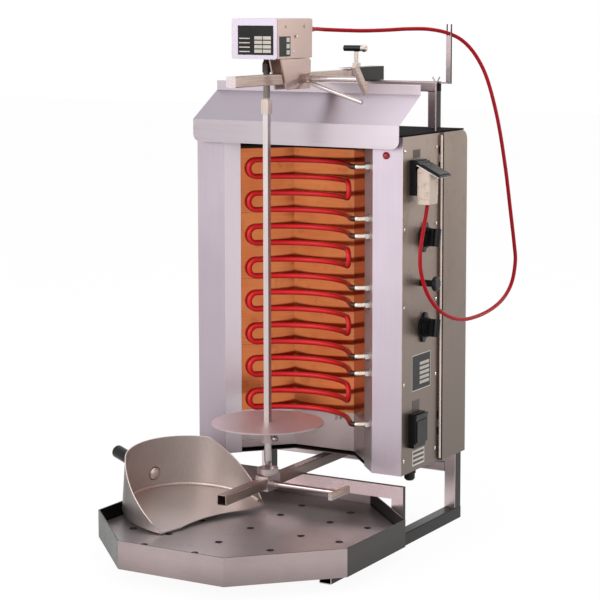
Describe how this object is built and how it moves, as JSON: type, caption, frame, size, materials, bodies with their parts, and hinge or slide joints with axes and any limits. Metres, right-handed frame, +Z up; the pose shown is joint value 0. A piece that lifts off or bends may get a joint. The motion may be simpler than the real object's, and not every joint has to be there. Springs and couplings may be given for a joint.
{
  "type": "electric skewer grill",
  "caption": "Free-standing vertical skewer grill: a splayed heating chamber with tubular elements, a motor-driven skewer, an octagonal drip tray and a scoop.",
  "frame": {"origin": "centre of the outline, without the motor cord and its plug, on the surface that it stands on", "axes": "+Z up, -Y to the front where the cook stands, +X to the control side"},
  "size_m": [0.6998, 0.7831, 1.004],
  "materials": {
    "polished_steel": "polished sheet",
    "side_steel": "brushed sheet",
    "tube_steel": "satin tube",
    "dark_steel": "dark satin",
    "black_plate": "matt black",
    "hot_steel": "polished sheet",
    "skirt_steel": "satin sheet",
    "element_red": "satin tube",
    "bright_metal": "bright",
    "disc_steel": "brushed",
    "tray_steel": "satin sheet",
    "plate_steel": "satin sheet",
    "scoop_steel": "brushed sheet",
    "black_plastic": "satin",
    "lamp_red": "translucent lens",
    "cord_red": "flexible sheath",
    "plug_cream": "moulded"
  },
  "bodies": {
    "stand": {"base_rails": "dark_steel", "frame_uprights": "dark_steel", "frame_crossbars": "dark_steel", "lower_arm": "tube_steel", "left_column": "polished_steel", "right_column": "polished_steel", "left_side_panel": "side_steel", "right_side_panel": "side_steel", "rear_panel": "side_steel", "housing_floor": "side_steel", "top_plate": "black_plate", "control_panel": "side_steel", "chamber_skirt": "skirt_steel", "reflector_1": "hot_steel", "reflector_2": "hot_steel", "reflector_3": "hot_steel", "reflector_4": "hot_steel", "heating_element_1": "element_red", "heating_element_2": "element_red", "heating_element_3": "element_red", "heating_element_4": "element_red", "terminal_strip": "polished_steel", "terminal_nuts": "bright_metal", "hood": "polished_steel", "signal_lamp": "lamp_red", "upper_posts": "dark_steel", "upper_crossbar": "dark_steel", "arm_sleeve": "dark_steel", "upper_arm": "tube_steel", "cord_forks": "dark_steel", "socket_boxes": "black_plastic", "switch_rosettes": "black_plastic", "mains_gland": "black_plastic", "panel_screws": "bright_metal", "motor_cord": "cord_red", "cord_plug": "plug_cream"},
    "clamp_handle": {"clamp_handle": "bright_metal"},
    "upper_lid": {"upper_lid": "black_plastic"},
    "lower_lid": {"lower_lid": "black_plastic"},
    "upper_switch": {"upper_switch_knob": "black_plastic"},
    "lower_switch": {"lower_switch_knob": "black_plastic"},
    "pull_knob": {"pull_knob": "black_plastic"},
    "side_shield": {"side_shield": "side_steel"},
    "motor": {"motor_housing": "polished_steel", "motor_cover": "side_steel", "motor_gland": "cord_red", "motor_bracket": "tube_steel"},
    "upper_clamp": {"upper_clamp_screw": "bright_metal"},
    "lock_lever": {"lock_lever": "bright_metal"},
    "drive": {"drive_shaft": "bright_metal"},
    "skewer": {"skewer": "tube_steel"},
    "disc": {"meat_disc": "disc_steel"},
    "disc_screw": {"disc_screw": "bright_metal"},
    "carriage": {"lower_carriage": "skirt_steel"},
    "lower_clamp": {"lower_clamp_screw": "bright_metal"},
    "tray": {"drip_tray": "tray_steel"},
    "plate": {"drip_plate": "plate_steel"},
    "scoop": {"scoop": "scoop_steel", "scoop_handle": "black_plastic"}
  },
  "joints": [
    {"name": "spit_spin", "type": "hinge", "parent": "motor", "child": "drive", "pos_m": [0.04686, -0.02757, 0.904], "axis": [0, 0, 1], "continuous": true},
    {"name": "skewer_lift", "type": "slide", "parent": "drive", "child": "skewer", "axis": [0, 0, 1], "range_m": [0, 0.012]},
    {"name": "disc_height", "type": "slide", "parent": "skewer", "child": "disc", "axis": [0, 0, 1], "range_m": [0, 0.3]},
    {"name": "disc_screw_turn", "type": "hinge", "parent": "disc", "child": "disc_screw", "pos_m": [0.05686, -0.02757, 0.212], "axis": [1, 0, 0], "range_deg": [0, 360]},
    {"name": "motor_reach", "type": "slide", "parent": "stand", "child": "motor", "axis": [0, -1, 0], "range_m": [0, 0.1]},
    {"name": "carriage_reach", "type": "slide", "parent": "stand", "child": "carriage", "axis": [0, -1, 0], "range_m": [0, 0.1]},
    {"name": "upper_clamp_turn", "type": "hinge", "parent": "motor", "child": "upper_clamp", "pos_m": [0.14686, 0.04243, 0.892], "axis": [1, 0, 0], "range_deg": [0, 360]},
    {"name": "lock_lever_turn", "type": "hinge", "parent": "motor", "child": "lock_lever", "pos_m": [0.09986, 0.04243, 0.892], "axis": [1, 0, 0], "range_deg": [-45, 45]},
    {"name": "lower_clamp_turn", "type": "hinge", "parent": "carriage", "child": "lower_clamp", "pos_m": [0.12687, -0.02757, 0.124], "axis": [1, 0, 0], "range_deg": [0, 360]},
    {"name": "arm_clamp_turn", "type": "hinge", "parent": "stand", "child": "clamp_handle", "pos_m": [0.07387, 0.27143, 0.92], "axis": [0, 0, 1], "range_deg": [0, 360]},
    {"name": "tray_slide", "type": "slide", "parent": "stand", "child": "tray", "axis": [0, -1, 0], "range_m": [0, 0.3]},
    {"name": "plate_lift", "type": "slide", "parent": "tray", "child": "plate", "axis": [0, 0, 1], "range_m": [0, 0.035]},
    {"name": "scoop_lift", "type": "slide", "parent": "plate", "child": "scoop", "axis": [0, 0, 1], "range_m": [0, 0.06]},
    {"name": "upper_lid_hinge", "type": "hinge", "parent": "stand", "child": "upper_lid", "pos_m": [0.29076, 0.13543, 0.735], "axis": [0, -1, 0], "range_deg": [0, 80], "stiffness_Nm_per_rad": 0.02, "springref_deg": -34.38},
    {"name": "lower_lid_hinge", "type": "hinge", "parent": "stand", "child": "lower_lid", "pos_m": [0.29076, 0.13543, 0.251], "axis": [0, -1, 0], "range_deg": [0, 100], "stiffness_Nm_per_rad": 0.02, "springref_deg": -34.38},
    {"name": "upper_switch_turn", "type": "hinge", "parent": "stand", "child": "upper_switch", "pos_m": [0.28686, 0.17043, 0.589], "axis": [1, 0, 0], "range_deg": [0, 270]},
    {"name": "lower_switch_turn", "type": "hinge", "parent": "stand", "child": "lower_switch", "pos_m": [0.28686, 0.17043, 0.415], "axis": [1, 0, 0], "range_deg": [0, 270]},
    {"name": "pull_knob_slide", "type": "slide", "parent": "stand", "child": "pull_knob", "axis": [1, 0, 0], "range_m": [0, 0.008]},
    {"name": "side_shield_hinge", "type": "hinge", "parent": "stand", "child": "side_shield", "pos_m": [0.27786, 0.23993, 0.45], "axis": [0, 0, -1], "range_deg": [0, 20]}
  ],
  "couplings": [
    {"joint": "carriage_reach", "follows": "motor_reach", "ratio": 1}
  ]
}
